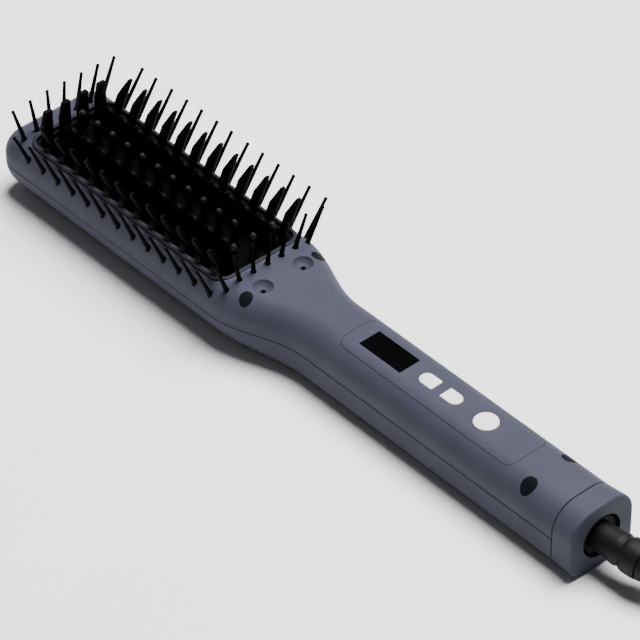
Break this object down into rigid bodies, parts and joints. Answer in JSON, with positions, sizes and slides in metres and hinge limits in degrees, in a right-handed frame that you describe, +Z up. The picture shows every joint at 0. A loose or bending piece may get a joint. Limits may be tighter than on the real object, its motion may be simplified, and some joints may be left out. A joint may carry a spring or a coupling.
{
  "type": "heated hair straightening brush",
  "caption": "Paddle-shaped electric straightening brush with a heated comb bed, rows of slanted bristles, a display, push buttons, ion outlets and a swivelling mains cord.",
  "frame": {"origin": "under the middle of the housing's length, on the surface the brush lies on, in its plane of symmetry", "axes": "+X runs from the tip of the head to the cord end, +Y across the brush, +Z up from the lying back of the brush towards its bristles"},
  "size_m": [0.3869, 0.0804, 0.039],
  "materials": {
    "soft_touch_shell": "soft-touch coated",
    "grey_trim": "fine matte",
    "black_nylon": "satin moulded nylon",
    "coated_aluminium": "black ceramic coated",
    "pale_tip": "satin heat-proof nylon",
    "white_key": "semi-gloss",
    "black_window": "polished smoked acrylic",
    "circuit_board": "glass-epoxy laminate with green solder mask",
    "black_housing_plastic": "glass-filled nylon",
    "heater_ceramic": "fired ceramic",
    "insulating_film": "polyimide film",
    "zinc_steel": "zinc plated",
    "copper_alloy": "plain",
    "cord_rubber": "matte PVC and rubber",
    "wire_insulation": "silicone sleeve",
    "aluminium_sheet": "mill finish"
  },
  "bodies": {
    "housing": {"upper_housing": "soft_touch_shell", "lower_housing": "soft_touch_shell", "end_cap": "soft_touch_shell", "control_panel": "soft_touch_shell", "bed_rim": "grey_trim", "screw_plugs": "black_nylon", "housing_screws": "zinc_steel", "bristle_frame": "black_nylon", "near_fins": "black_nylon", "far_fins": "black_nylon", "tip_fins": "black_nylon", "heating_comb": "coated_aluminium", "comb_posts": "coated_aluminium", "near_blades": "coated_aluminium", "far_blades": "coated_aluminium", "tooth_tips": "pale_tip", "near_pins": "black_nylon", "far_pins": "black_nylon", "tip_pins": "black_nylon", "neck_pins": "black_nylon", "display_window": "black_window", "display_module": "black_window", "minus_switch": "black_housing_plastic", "plus_switch": "black_housing_plastic", "power_switch": "black_housing_plastic", "main_board": "circuit_board", "heater_element": "heater_ceramic", "heater_insulator": "insulating_film", "heater_clamp": "zinc_steel", "clamp_screws": "zinc_steel", "thermal_fuse": "zinc_steel", "temperature_sensor": "heater_ceramic", "heat_shield": "aluminium_sheet", "ion_generator": "black_housing_plastic", "near_ion_nozzle": "black_housing_plastic", "far_ion_nozzle": "black_housing_plastic", "emitter_needles": "zinc_steel", "swivel_retainer": "black_housing_plastic", "contact_springs": "copper_alloy", "contact_block": "black_housing_plastic", "heater_wires": "wire_insulation", "supply_wires": "wire_insulation"},
    "minus_key": {"minus_button": "white_key", "minus_plunger": "black_housing_plastic"},
    "plus_key": {"plus_button": "white_key", "plus_plunger": "black_housing_plastic"},
    "power_key": {"power_button": "white_key", "power_plunger": "black_housing_plastic"},
    "cord_swivel_body": {"swivel_hub": "black_housing_plastic", "slip_rings": "copper_alloy", "cord_guard": "cord_rubber", "cord_lead": "cord_rubber", "cord_coil": "cord_rubber", "cord_tail": "cord_rubber", "plug_body": "cord_rubber", "plug_blades": "copper_alloy"}
  },
  "joints": [
    {"name": "minus_press", "type": "slide", "parent": "housing", "child": "minus_key", "axis": [0, 0, -1], "range_m": [0, 0.0006], "stiffness_N_per_m": 1500},
    {"name": "plus_press", "type": "slide", "parent": "housing", "child": "plus_key", "axis": [0, 0, -1], "range_m": [0, 0.0006], "stiffness_N_per_m": 1500},
    {"name": "power_press", "type": "slide", "parent": "housing", "child": "power_key", "axis": [0, 0, -1], "range_m": [0, 0.0006], "stiffness_N_per_m": 1500},
    {"name": "cord_swivel", "type": "hinge", "parent": "housing", "child": "cord_swivel_body", "pos_m": [0.1272, 0, 0.01175], "axis": [1, 0, 0], "continuous": true}
  ]
}
